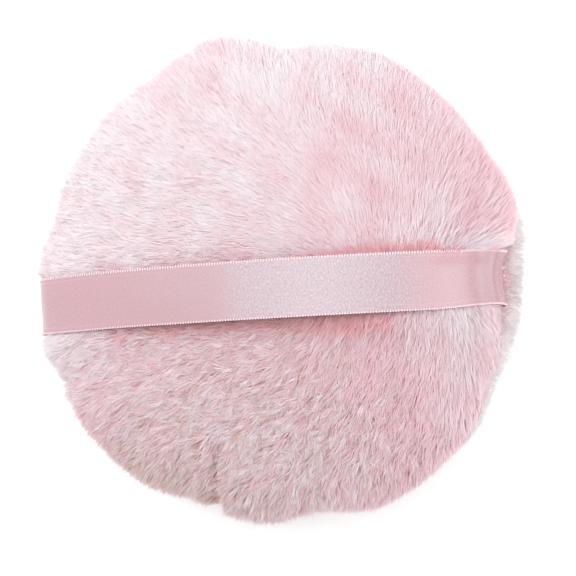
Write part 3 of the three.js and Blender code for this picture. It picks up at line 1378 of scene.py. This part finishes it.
@dataclass
class Pile:
    """The plush pile of one cover, grown as tufts of tapered strands and combed.

    Reach is how far a stroke of the hand acts. The groove is the line where the pile is
    parted. The ribbon presses the pile down to a margin under it, which fades beside it.
    Girth is the range of the strands' thickness, and taper is below 1 for a full strand.
    """

    sizes: PuffSizes
    route: RibbonRoute
    pull: RibbonPull
    lumps: RimLumps
    plush: Plush
    layer: Layer
    strands: int
    seed: int
    habit: Habit = Habit()
    reach: float = 8 * MM
    waves_mixed: int = 9
    wave_range: Span = (0.7, 1.5)
    ribbon_margin: float = 0.4 * MM
    press_fade: Span = (0.4 * MM, 1.6 * MM)
    press_low: float = 0.3 * MM
    floor_gap: float = 0.3 * MM
    bunch_share: float = 0.8
    groove: tuple[Span, Span] = ((-11 * MM, -34 * MM), (-13.6 * MM, -51 * MM))
    groove_width: float = 1.3 * MM
    girth: Span = (0.75, 1.25)
    taper: float = 0.55
    close: float = 1e-4
    map_inset: Span = (0.03, 0.01)
    map_width: float = 0.012

    @property
    def on_back(self) -> bool:
        """Whether this is the pile of the back cover."""
        return self.plush.side is Side.BACK

    @property
    def marks(self) -> RibbonMarks:
        """What the ribbon does to the pile."""
        return RibbonMarks(self.sizes)

    @property
    def joints(self) -> tuple[float, ...]:
        """Shares of a strand's length at its root, its bends and its tip."""
        return (0.0, *self.layer.cuts, 1.0)

    def template(self) -> Shape:
        """Makes one strand of unit length and width: a three-sided spike.

        Returns:
            The strand, triangulated.
        """
        shape = bmesh.new()
        bmesh.ops.create_cone(
            shape,
            segments=3,
            cap_ends=False,
            radius1=1,
            radius2=0,
            depth=1,
            matrix=Matrix.Translation((0, 0, 0.5)),
        )
        for place in self.layer.cuts:
            bmesh.ops.bisect_plane(
                shape,
                geom=shape.verts[:] + shape.edges[:] + shape.faces[:],
                plane_co=(0, 0, place),
                plane_no=(0, 0, 1),
            )
        bmesh.ops.remove_doubles(shape, verts=shape.verts[:], dist=self.close)
        bmesh.ops.triangulate(shape, faces=shape.faces[:])
        bmesh.ops.recalc_face_normals(shape, faces=shape.faces[:])
        return shape

    def combed(self, roots: Array) -> tuple[Array, Array, Array, Array]:
        """Reads the strokes at each root.

        Args:
            roots: where the strands grow.

        Returns:
            Headings in the XY plane, leans, paleness and ruffling.
        """
        strokes = self.plush.strokes
        place = roots[:, :2]
        spots = np.array([(s.x, s.y) for s in strokes]) * MM
        apart = ((place[:, None] - spots[None]) ** 2).sum(2)
        pull = np.exp(-0.5 * (apart - apart.min(1, keepdims=True)) / self.reach**2)
        pull /= pull.sum(1, keepdims=True)
        angles = np.radians([s.heading for s in strokes])
        heading = pull @ np.column_stack((np.cos(angles), np.sin(angles)))
        lean, pale, ruffle = (pull @ np.array([[s.lean, s.pale, s.ruffle] for s in strokes])).T
        outside = smooth_step(*self.habit.calm_radius, np.linalg.norm(place, axis=1))
        ruffle = ruffle * (1 - self.habit.calm * outside)
        if self.on_back:
            lean, pale = self.marks.stand(roots, lean, pale)
        return unit(heading), lean, pale, ruffle

    def tufts(self, roots: Array, rng: Chance) -> Array:
        """Shares the strands out among tufts.

        Args:
            roots: where the strands grow.
            rng: the seeded source of chance.

        Returns:
            For each strand, the strand at the middle of its tuft.
        """
        leaders = rng.choice(len(roots), len(roots) // self.layer.tuft, replace=False)
        tree = KDTree(len(leaders))
        for i, leader in enumerate(leaders):
            tree.insert(roots[leader], i)
        tree.balance()
        return leaders[np.array([tree.find(p)[1] for p in roots])]

    def flow(self, roots: Array, normals: Array, heading: Array, swing: Array) -> Array:
        """Lays the headings along the surface, carrying them over the rim.

        Args:
            roots: where the strands grow.
            normals: the surface's normals there.
            heading: headings in the XY plane.
            swing: an angle that each heading is turned by.

        Returns:
            Directions along the surface.
        """
        cos, sin = np.cos(swing), np.sin(swing)
        x, y = heading[:, 0], heading[:, 1]
        flat = np.column_stack((cos * x - sin * y, sin * x + cos * y, np.zeros(len(x))))
        way = self.plush.side.value
        radial = unit(np.column_stack((roots[:, :2], np.zeros(len(roots)))))
        round_rim = np.cross((0, 0, 1), radial)
        steep = (normals * radial).sum(1, keepdims=True)
        over_rim = unit(radial * normals[:, 2:] * way - np.array([0, 0, way]) * steep)
        out = (flat * radial).sum(1, keepdims=True)
        turn = (flat * round_rim).sum(1, keepdims=True)
        return unit(over_rim * out + round_rim * turn)

    def waves(self, roots: Array, size: float) -> Array:
        """Makes soft waves over the pile, as fingers leave them, the same for each layer.

        Args:
            roots: where the strands grow.
            size: the waves' usual length.

        Returns:
            Values around 0, mostly from -1 to 1.
        """
        rng = np.random.default_rng(int(size / MM))
        total = np.zeros(len(roots))
        for _ in range(self.waves_mixed):
            way, shift = rng.uniform(0, math.tau, 2)
            pitch = math.tau / (size * rng.uniform(*self.wave_range))
            across = roots[:, 0] * math.cos(way) + roots[:, 1] * math.sin(way)
            total += np.sin(across * pitch + shift)
        return total / math.sqrt(self.waves_mixed)

    def parted(self, roots: Array) -> Array:
        """Gives how far each root lies in the groove where the back's pile is parted.

        Args:
            roots: where the strands grow.

        Returns:
            Shares from 0 to 1.
        """
        if not self.on_back:
            return np.zeros(len(roots))
        start, end = np.array(self.groove)
        way = end - start
        share = np.clip((roots[:, :2] - start) @ way / (way @ way), 0, 1)
        apart = np.linalg.norm(roots[:, :2] - start - share[:, None] * way, axis=1)
        return np.exp(-((apart / self.groove_width) ** 2))

    def strays(self, rng: Chance, lead: Array, spread: Span) -> tuple[Array, Array]:
        """Draws how far each strand strays: what its tuft shares, and what the strand adds."""
        shared, own = (rng.normal(0, s, self.strands) for s in spread)
        return shared[lead], own

    def lengths(self, rng: Chance, lead: Array, roots: Array, face: Array) -> Array:
        """Draws the strands' lengths.

        Args:
            rng: the seeded source of chance.
            lead: the strand at the middle of each strand's tuft.
            roots: where the strands grow.
            face: shares from 0, on the rim's side, to 1, on the cover's face.

        Returns:
            Lengths.
        """
        habit, layer = self.habit, self.layer
        shared, own = self.strays(rng, lead, habit.length)
        stretch = np.clip((1 + shared) * (1 + own), *habit.length_range) - 1
        stretch *= habit.rim_length + (1 - habit.rim_length) * face
        length = (layer.rim_length + (layer.length - layer.rim_length) * face) * (1 + stretch)
        if self.on_back:
            length *= 1 + habit.swell * self.marks.swelled(roots)
        return length * (1 - habit.parted_cut * self.parted(roots))

    def tints(self, rng: Chance, lead: Array, roots: Array, pale: Array, ruffle: Array) -> Array:
        """Draws the strands' colours.

        Args:
            rng: the seeded source of chance.
            lead: the strand at the middle of each strand's tuft.
            roots: where the strands grow.
            pale: the strokes' paleness there.
            ruffle: the strokes' ruffling there.

        Returns:
            Tints of the pile's finish, from 0, rosy, to 1, pale.
        """
        habit = self.habit
        mix = sum(self.strays(rng, lead, habit.tint))
        pale = pale + mix * (habit.smooth_tint + (1 - habit.smooth_tint) * ruffle)
        strength, size = habit.tint_wave
        pale += strength * self.waves(roots, size)
        strength, size = habit.ruffle_wave
        pale += strength * ruffle * self.waves(roots, size)
        # The groove's strands are painted darker, as painted shade in the crease.
        pale += (habit.groove_painted_shade - pale) * self.parted(roots)
        # Tufts painted near white stand for glints on tousled pile, as painted highlights.
        white = rng.random(self.strands)[lead] < self.layer.white * ruffle**2
        # Strands in the ribbon's shade are painted rosy, as painted pink shade.
        rosy = rng.random(self.strands)[lead] < self.marks.shaded(roots, self.plush.side)
        low, high = habit.pale_range
        pale = np.clip(np.where(white, habit.glint_pale, pale), low, high)
        # The finish runs from rosy at 0 to pale at 1, the strokes' paleness over its range.
        return np.where(rosy, 0, (pale - low) / (high - low))

    def lines(self, rng: Chance, skin: Skin) -> tuple[Array, Array, Array]:
        """Grows the middle lines of all strands.

        Args:
            rng: the seeded source of chance.
            skin: the face that they grow from.

        Returns:
            Lines as strand, joint and coordinate, the normals at the roots, and tints.
        """
        habit = self.habit
        bunched = 0 if self.on_back else self.marks.bunched(skin.middles())
        roots, normals = skin.scatter(self.strands, rng, 1 + bunched * self.bunch_share)
        heading, lean, pale, ruffle = self.combed(roots)
        lead = self.tufts(roots, rng)
        still, stirred = habit.looseness
        loose = self.layer.unrest * (still + stirred * ruffle)
        swing = sum(self.strays(rng, lead, habit.swing)) * loose
        for strength, size in habit.swing_waves:
            swing += strength * ruffle * self.waves(roots, size)
        along = self.flow(roots, normals, heading, swing)
        face = smooth_step(*habit.face, normals[:, 2] * self.plush.side.value)
        length = self.lengths(rng, lead, roots, face)
        lift = rng.normal(0, habit.lift, self.strands)[lead] * loose
        strength, size = habit.lift_wave
        lift += strength * ruffle * self.waves(roots, size)
        lean = np.clip(lean + habit.lean + lift, *habit.lean_range)
        first, last = (np.radians(up + flat * lean) for up, flat in (habit.root_bend, habit.tip_bend))
        lines = [roots]
        for low, high in zip(self.joints, self.joints[1:]):
            angle = first + (last - first) * (low + high) / 2
            step = np.cos(angle)[:, None] * normals + np.sin(angle)[:, None] * along
            lines.append(lines[-1] + step * (length * (high - low))[:, None])
        lines = np.stack(lines, 1)
        still, stirred = habit.draw
        draw = rng.uniform(*self.layer.draw, self.strands)[lead] * (still + stirred * ruffle[lead])
        for i, place in enumerate(self.joints):
            pull = (draw * place**habit.draw_power)[:, None]
            lines[:, i] += (lines[lead, i] - lines[:, i]) * pull
        return lines, normals, self.tints(rng, lead, roots, pale, ruffle)

    def pressed(self, lines: Array) -> Array:
        """Holds the pile under the ribbon and above the floor.

        Args:
            lines: the strands' middle lines.

        Returns:
            The pressed lines.
        """
        s = self.sizes
        lines[:, :, 2] = np.maximum(lines[:, :, 2], s.foot_height + self.floor_gap)
        if not self.on_back:
            return lines
        path = self.route.whole()
        path = path[path[:, 1] > self.press_low]
        bearing = np.arctan2(path[:, 1], path[:, 0])
        order = np.argsort(bearing)
        under = np.hypot(path[:, 0], path[:, 1]) - self.route.thickness / 2 - self.ribbon_margin
        x, z = lines[:, :, 0], lines[:, :, 2] - s.seam_height
        limit = np.interp(np.arctan2(z, x), bearing[order], under[order])
        limit -= self.route.sunk(x, lines[:, :, 1])
        limit += self.lumps.push(lines)
        radius = np.hypot(x, z)
        off = np.abs(lines[:, :, 1] - s.ribbon_middle) - s.ribbon_width / 2
        hold = 1 - smooth_step(*self.press_fade, off)
        hold[z < 0] = 0
        over = np.maximum(radius / np.maximum(limit, MM), 1)
        shrink = 1 + (1 / over - 1) * hold
        lines[:, :, 0] = x * shrink
        lines[:, :, 2] = z * shrink + s.seam_height
        return lines

    def thickened(
        self, corner: Array, lines: Array, normals: Array, rng: Chance
    ) -> tuple[Array, Array]:
        """Gives the strands their thickness.

        Args:
            corner: the vertices of the unit strand.
            lines: the strands' middle lines.
            normals: the cover's normals at the roots.
            rng: the seeded source of chance.

        Returns:
            The joint that each vertex stands at, and each strand's vertices from there.
        """
        ring = np.searchsorted(self.joints, corner[:, 2] - self.close)
        ahead = unit(np.gradient(lines, axis=1))
        across = unit(np.cross(ahead, normals[:, None]))
        square = np.cross(ahead, across)
        girth = self.layer.width * rng.uniform(*self.girth, len(lines))[:, None, None]
        left = np.maximum(1 - corner[:, 2:], self.close)
        spread = corner[:, :2] * np.where(left > self.close, left ** (self.taper - 1), 0)
        aside = spread[:, :1] * across[:, ring] + spread[:, 1:] * square[:, ring]
        return ring, girth * aside

    def build(self, skin: Skin, material: Material) -> None:
        """Grows the pile and puts it in the scene, one piece for each sector.

        Args:
            skin: the face that it grows from.
            material: the pile's finish.
        """
        rng = np.random.default_rng(self.seed)
        lines, normals, tints = self.lines(rng, skin)
        lines = self.pressed(lines)
        normals = self.pull.turned(lines[:, 0], normals)
        lines = self.pull.apply(lines)
        shape = self.template()
        corner = np.array([v.co for v in shape.verts])
        ring, aside = self.thickened(corner, lines, normals, rng)
        # Light that scatters through the pile shades it as one soft surface, so each
        # strand leans its own normal towards the cover's.
        soft = unit(unit(aside) * self.plush.own_shade + normals[:, None])
        bearing = np.arctan2(lines[:, 0, 1], lines[:, 0, 0]) + math.pi
        sectors = self.plush.sectors
        sector = np.minimum((bearing / math.tau * sectors).astype(int), sectors - 1)
        for number in range(sectors):
            mine = sector == number
            points, triangles, source = copies(shape, lines[mine][:, ring] + aside[mine])
            name = f"{self.plush.side.name.lower()}_{self.layer.name}_{number + 1}"
            mesh = raw_mesh(name, points, triangles)
            spot = corner[source]
            tint = np.repeat(tints[mine], len(source) // mine.sum())
            for title in (BAKE_MAP, STRAND_MAP):
                layer = mesh.uv_layers.new(name=title)
                layer.data.foreach_set("uv", self.mapped(tint, spot).astype(np.float32).ravel())
            mesh.uv_layers[STRAND_MAP].active_render = True
            finish_piece(mesh, name, material)
            mesh.normals_split_custom_set_from_vertices(soft[mine].reshape(-1, 3).tolist())
        shape.free()

    def mapped(self, tint: Array, spot: Array) -> Array:
        """Lays triangle corners on the strands' map.

        Args:
            tint: the tint of each corner's strand.
            spot: each corner's place on the unit strand.

        Returns:
            Rows of tint and share of the strand's length, a little inside the map's edges.
        """
        side, end = self.map_inset
        u = side + (1 - 2 * side) * tint + self.map_width * spot[:, 0]
        return np.column_stack((u, end + (1 - 2 * end) * spot[:, 2]))


@dataclass
class Ribbon:
    """The satin ribbon: one strip from seam to seam, with a looped selvedge on each edge.

    Loops stand taller along the upper edge than along the lower one.
    """

    sizes: PuffSizes
    route: RibbonRoute
    pull: RibbonPull
    lumps: RimLumps
    thickness: float = 0.36 * MM
    along: int = 180
    across: int = 14
    route_points: int = 600
    wave_height: float = 0.16 * MM
    wave_length: float = 9 * MM
    wave_shift: float = 0.8
    wave_end: Span = (30 * MM, 42 * MM)
    loop_pitch: float = 0.56 * MM
    loop_size: Point = (0.16 * MM, 0.3 * MM, 0.17 * MM)
    loop_inset: float = 0.12 * MM
    loop_span: Span = (0.1, 0.905)
    loop_tall: Span = (0.9, 1.4)
    sharp_edge: float = math.radians(50)

    def strip_points(self, u: Array, v: Array) -> Array:
        """Places points of the flat ribbon on its route.

        Args:
            u: shares of its width.
            v: shares of its length.

        Returns:
            Points in the frame.
        """
        line = self.route.even(self.route_points)
        share = np.linspace(0, 1, len(line))
        x, z = (np.interp(v, share, line[:, i]) for i in (0, 1))
        y = self.sizes.ribbon_middle + (u - 0.5) * self.sizes.ribbon_width
        wave = self.wave_height * np.sin(x / self.wave_length + self.wave_shift)
        wave *= 1 - smooth_step(*self.wave_end, np.abs(x))
        z = z + wave + self.sizes.seam_height - self.route.sunk(x, y)
        return self.pull.apply(self.lumps.apply(np.column_stack((x, y, z))))

    def strip(self) -> Shape:
        """Makes the strip as a bent grid with its own map, and gives it its thickness.

        Returns:
            The strip.
        """
        shape = bmesh.new()
        bmesh.ops.create_grid(
            shape, x_segments=self.across, y_segments=self.along, size=0.5, calc_uvs=False
        )
        layer = shape.loops.layers.uv.new(RIBBON_MAP)
        for face in shape.faces:
            for loop in face.loops:
                loop[layer].uv = (loop.vert.co.x + 0.5, loop.vert.co.y + 0.5)
        flat = np.array([v.co for v in shape.verts])
        for vert, place in zip(shape.verts, self.strip_points(flat[:, 0] + 0.5, flat[:, 1] + 0.5)):
            vert.co = place
        bmesh.ops.solidify(shape, geom=shape.faces[:], thickness=self.thickness)
        bmesh.ops.recalc_face_normals(shape, faces=shape.faces[:])
        return shape

    def loops(self) -> Mesh:
        """Makes the selvedge: a row of thread loops along each edge, up to where pile hides it.

        Returns:
            The mesh.
        """
        shape = bmesh.new()
        bmesh.ops.create_icosphere(shape, subdivisions=1, radius=1)
        bmesh.ops.scale(shape, vec=self.loop_size, verts=shape.verts[:])
        start, end = self.loop_span
        count = int(self.route.length() * (end - start) / self.loop_pitch)
        v = np.tile(np.linspace(start, end, count), 2)
        inset = self.loop_inset / self.sizes.ribbon_width
        u = np.repeat((inset, 1 - 2 * inset), count)
        middle = self.strip_points(u, v)
        # Short steps along and across the ribbon show which way each loop lies.
        step_across, step_along = 0.01, 0.2 / count
        ahead = unit(self.strip_points(u, v + step_along) - middle)
        across = unit(self.strip_points(u + step_across, v) - middle)
        tall = np.repeat(self.loop_tall, count)[:, None]
        axes = np.stack((ahead, across * tall, np.cross(ahead, across)), 1)
        template = np.array([b.co for b in shape.verts])
        points, triangles, _ = copies(shape, middle[:, None] + template @ axes)
        shape.free()
        return raw_mesh("ribbon_selvedge", points, triangles)

    def build(self, satin: Material, thread: Material) -> None:
        """Makes the ribbon and its selvedge, and puts them on no body.

        Args:
            satin: the ribbon's finish.
            thread: the selvedge's finish.
        """
        strip = finish_piece(
            mesh_from(self.strip(), "satin_ribbon"), "satin_ribbon", satin, None
        )
        strip.data.set_sharp_from_angle(angle=self.sharp_edge)
        selvedge = finish_piece(self.loops(), "ribbon_selvedge", thread, None)
        for piece in (strip, selvedge):
            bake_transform(piece)
        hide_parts("ribbon_strap", "ribbon_left_end", "ribbon_right_end")
        self.route.length()


@dataclass
class Filling:
    """The fibre wadding inside the covers: a pad with a full rim and flat faces."""

    rim_inset: float = 6 * MM
    face_inset: float = 1.2 * MM
    rim_fullness: float = 0.35
    face_fullness: float = 0.6
    pole: float = 1e-6
    swelling: Swelling = Swelling(most=0.8 * MM)

    def build(self, material: Material) -> None:
        """Makes the wadding as a softly swelled pad.

        Args:
            material: its finish.
        """
        low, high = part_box("fill_pad")
        middle = (low + high) / 2
        half = (high - low) / 2
        wide = half.x - self.rim_inset
        deep = half.z - self.face_inset
        shape = bmesh.new()
        bmesh.ops.create_uvsphere(shape, u_segments=48, v_segments=20, radius=1)
        for vert in shape.verts:
            x, y, z = vert.co
            across = math.hypot(x, y)
            swell = across**-self.rim_fullness if across > self.pole else 1
            level = math.copysign(abs(z) ** self.face_fullness, z)
            vert.co = middle + Vector((x * swell * wide, y * swell * wide, level * deep))
        mesh = in_order(mesh_from(shape, "fibre_wadding"))
        self.swelling.apply(mesh, held=np.zeros(len(mesh.vertices), bool))
        piece = finish_piece(mesh, "fibre_wadding", material)
        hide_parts("fill_pad")


@dataclass
class Seam:
    """The machine seam's two threads and the hand stitch that closes the turning gap."""

    sizes: PuffSizes
    pull: RibbonPull
    stitch_pitch: float = 2.8 * MM
    stitch_share: float = 0.86

    def stitch(self, radius: float, height: float, girth: float, length: float) -> Shape:
        """Makes one stitch: a plump bar of thread lying along the seam.

        Args:
            radius: the seam line's radius.
            height: its height.
            girth: the thread's radius.
            length: the stitch's length.

        Returns:
            The stitch, at bearing 0.
        """
        shape = bmesh.new()
        bmesh.ops.create_uvsphere(shape, u_segments=8, v_segments=6, radius=1)
        bmesh.ops.scale(shape, vec=(girth, girth, length / 2), verts=shape.verts[:])
        bmesh.ops.rotate(
            shape, cent=(0, 0, 0), matrix=Matrix.Rotation(math.pi / 2, 3, "X"), verts=shape.verts[:]
        )
        bmesh.ops.translate(shape, vec=(radius, 0, height), verts=shape.verts[:])
        return shape

    def row(self, node: str, start: float, sweep: float) -> Shape:
        """Repeats the stitch along a stretch of the seam.

        Args:
            node: the solid that the row stands for.
            start: the bearing of the first stitch.
            sweep: the angle that the row covers.

        Returns:
            The row of stitches.
        """
        low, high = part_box(node)
        girth = (high.z - low.z) / 2
        corner = max(abs(low.x), abs(high.x), abs(low.y), abs(high.y))
        radius = corner - girth
        count = max(3, round(sweep * radius / self.stitch_pitch))
        length = sweep * radius / count * self.stitch_share
        shape = self.stitch(radius, (low.z + high.z) / 2, girth, length)
        bmesh.ops.rotate(
            shape, cent=(0, 0, 0), matrix=Matrix.Rotation(start, 3, "Z"), verts=shape.verts[:]
        )
        bmesh.ops.spin(
            shape,
            geom=shape.verts[:] + shape.edges[:] + shape.faces[:],
            cent=(0, 0, 0),
            axis=(0, 0, 1),
            angle=sweep * (count - 1) / count,
            steps=count - 1,
            use_duplicate=True,
        )
        return shape

    def build(self, material: Material) -> None:
        """Makes the three rows of stitches.

        Args:
            material: the thread's finish.
        """
        low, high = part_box("closing_stitch")
        start = math.atan2((low.y + high.y) / 2, low.x)
        sweep = math.atan2((low.y + high.y) / 2, high.x) - start
        rows = (
            ("seam_needle_thread", "needle_stitches", 0.0, math.tau),
            ("seam_bobbin_thread", "bobbin_stitches", 0.0, math.tau),
            ("closing_stitch", "closing_stitches", start, sweep),
        )
        for node, name, first, turn in rows:
            mesh = mesh_from(self.row(node, first, turn), name)
            move_points(mesh, self.pull.apply(points_of(mesh)))
            piece = finish_piece(mesh, name, material)
            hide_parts(node)


@dataclass
class Studio:
    """Plain paper floor, soft light from above, the upper left and the right, and the camera.

    Each light has its name, its place, the length of its side and its power in watts.
    """

    sizes: PuffSizes
    lights: tuple[tuple[str, Point, float, float], ...] = (
        ("left_overhead_softbox", (-0.174, 0.07, 0.77), 0.12, 0.2),
        ("right_overhead_softbox", (0.07, 0.07, 0.77), 0.25, 0.8),
        ("right_softbox", (0.35, 0.07, 0.66), 0.34, 0.4),
        ("window_softbox", (-0.17, 0.225, 0.36), 0.3, 0.95),
        ("side_softbox", (0.45, -0.05, 0.14), 0.3, 0.82),
    )
    distance: float = 230 * MM
    tilt_x: float = math.radians(8.94)
    tilt_y: float = math.radians(4.33)
    roll: float = math.radians(-2.97)
    focal_px: float = 1069.0
    aim: Point = (3.09 * MM, -2.25 * MM, 20 * MM)
    nearest: float = 10 * MM
    floor_side: float = 6.0
    sky: float = 0.905
    bounces: int = 8

    def build(self, floor_material: Material) -> None:
        """Makes the floor, the lights and the camera.

        Args:
            floor_material: the floor's finish.
        """
        self.floor(floor_material)
        for light in self.lights:
            self.light(*light)
        self.surroundings()
        self.camera()

    def floor(self, material: Material) -> None:
        """Lays the paper floor.

        Args:
            material: its finish.
        """
        shape = bmesh.new()
        bmesh.ops.create_grid(shape, x_segments=8, y_segments=8, size=self.floor_side / 2)
        mesh = mesh_from(shape, "paper_floor")
        mesh.materials.append(material)
        floor = bpy.data.objects.new("paper_floor", mesh)
        bpy.context.scene.collection.objects.link(floor)

    def light(self, name: str, place: Point, side: float, watts: float) -> None:
        """Hangs a square softbox that faces the puff.

        Args:
            name: the lamp's name.
            place: where it hangs.
            side: the length of its side.
            watts: its power.
        """
        data = bpy.data.lights.new(name, "AREA")
        data.size = side
        data.energy = watts
        lamp = bpy.data.objects.new(name, data)
        lamp.location = place
        aim = Vector((0, 0, self.sizes.seam_height)) - lamp.location
        lamp.rotation_euler = aim.to_track_quat("-Z", "Y").to_euler()
        bpy.context.scene.collection.objects.link(lamp)

    def surroundings(self) -> None:
        """Fills the room with even white light."""
        world = bpy.data.worlds.new("white_room")
        world.use_nodes = True
        background = world.node_tree.nodes["Background"]
        background.inputs["Color"].default_value = (1, 1, 1, 1)
        background.inputs["Strength"].default_value = self.sky
        scene = bpy.context.scene
        scene.world = world
        scene.view_settings.view_transform = "Standard"
        scene.cycles.diffuse_bounces = self.bounces

    def camera(self) -> None:
        """Sets the camera where the photograph was taken from."""
        back = Vector(
            (
                math.sin(self.tilt_x) * math.cos(self.tilt_y),
                -math.sin(self.tilt_y),
                math.cos(self.tilt_x) * math.cos(self.tilt_y),
            )
        )
        right = Vector((0, 1, 0)).cross(back).normalized()
        up = back.cross(right)
        cos, sin = math.cos(self.roll), math.sin(self.roll)
        turn = Matrix((right * cos + up * sin, up * cos - right * sin, back)).transposed()
        data = bpy.data.cameras.new("photo_camera")
        data.sensor_width = SENSOR_MM
        data.lens = self.focal_px / PHOTO_SIDE_PX * SENSOR_MM
        data.clip_start = self.nearest
        camera = bpy.data.objects.new("photo_camera", data)
        camera.matrix_world = Matrix.Translation(
            Vector(self.aim) + back * self.distance
        ) @ turn.to_4x4()
        bpy.context.scene.collection.objects.link(camera)
        bpy.context.scene.camera = camera


def main() -> None:
    """Builds the puff's pieces in order and lights them."""
    logging.basicConfig(level=logging.INFO, format="%(name)s: %(message)s")
    sizes = PuffSizes.from_frame()
    route = RibbonRoute(sizes)
    pull = RibbonPull(sizes)
    lumps = RimLumps(sizes)
    plushes = (BACK_PLUSH, FRONT_PLUSH)
    skins = [
        Cover(sizes, plush.side, pull, lumps).build(plush.cloth.make(), plush.slot)
        for plush in plushes
    ]
    Filling().build(FibreWadding().make())
    Seam(sizes, pull).build(SpunThread().make())
    for plush, skin in zip(plushes, skins):
        fur = plush.fur.make()
        for i, (layer, strands) in enumerate(zip((UNDERCOAT, TOPCOAT), plush.strands)):
            pile = Pile(sizes, route, pull, lumps, plush, layer, strands, plush.seed + i)
            pile.build(skin, fur)
    satin = PolyesterSatin("polyester_satin", sizes.ribbon_width, route.length()).make()
    edge = SpunThread("white_selvedge_thread", colour="#f3dce1", shade="#e6c6cd").make()
    Ribbon(sizes, route, pull, lumps).build(satin, edge)
    Studio(sizes).build(PaperSweep().make())


if __name__ == "__main__":
    main()
